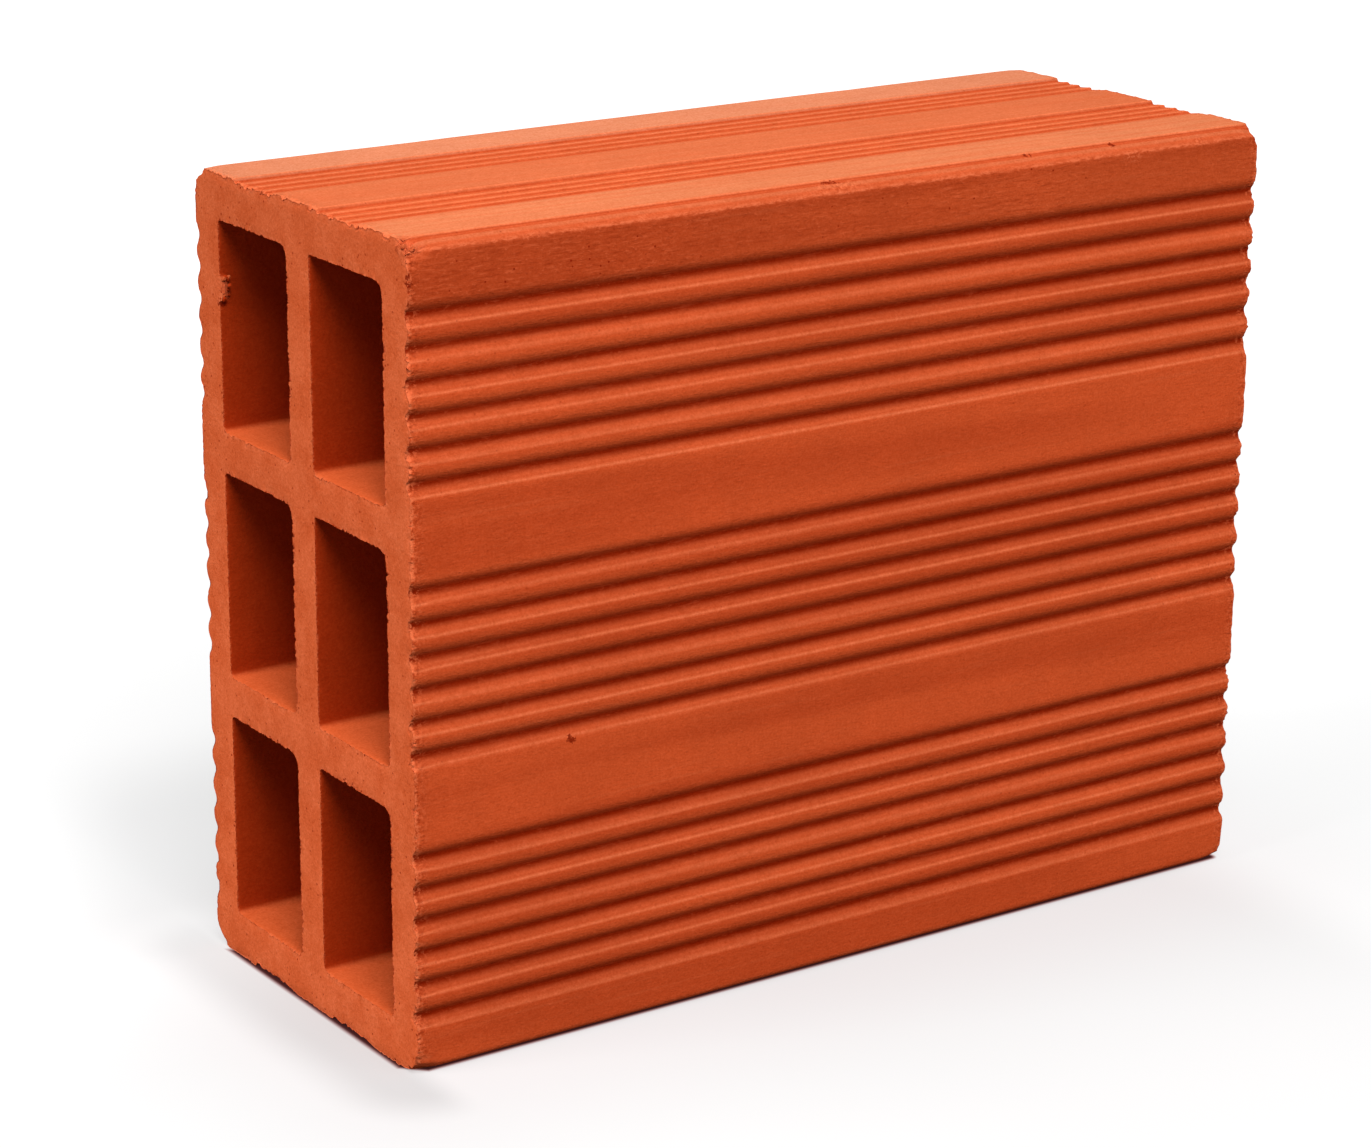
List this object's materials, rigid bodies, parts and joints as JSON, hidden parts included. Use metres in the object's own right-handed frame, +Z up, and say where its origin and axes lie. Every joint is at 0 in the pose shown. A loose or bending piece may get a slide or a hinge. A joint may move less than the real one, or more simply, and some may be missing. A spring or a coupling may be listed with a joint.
{
  "type": "hollow clay brick",
  "caption": "Upright hollow clay brick for partition walls, with rectangular cells through its length and bands of ribs along its long sides to key plaster.",
  "frame": {"origin": "centre of the footprint, on the floor that the brick stands on", "axes": "+X along the cells, away from the open end in the picture's left; +Y across the brick, away from the long side that the picture shows; +Z up"},
  "size_m": [0.25, 0.1, 0.2],
  "materials": {
    "fired_clay": "matt, unglazed fired clay"
  },
  "bodies": {
    "root": {"brick": "fired_clay"}
  },
  "joints": []
}
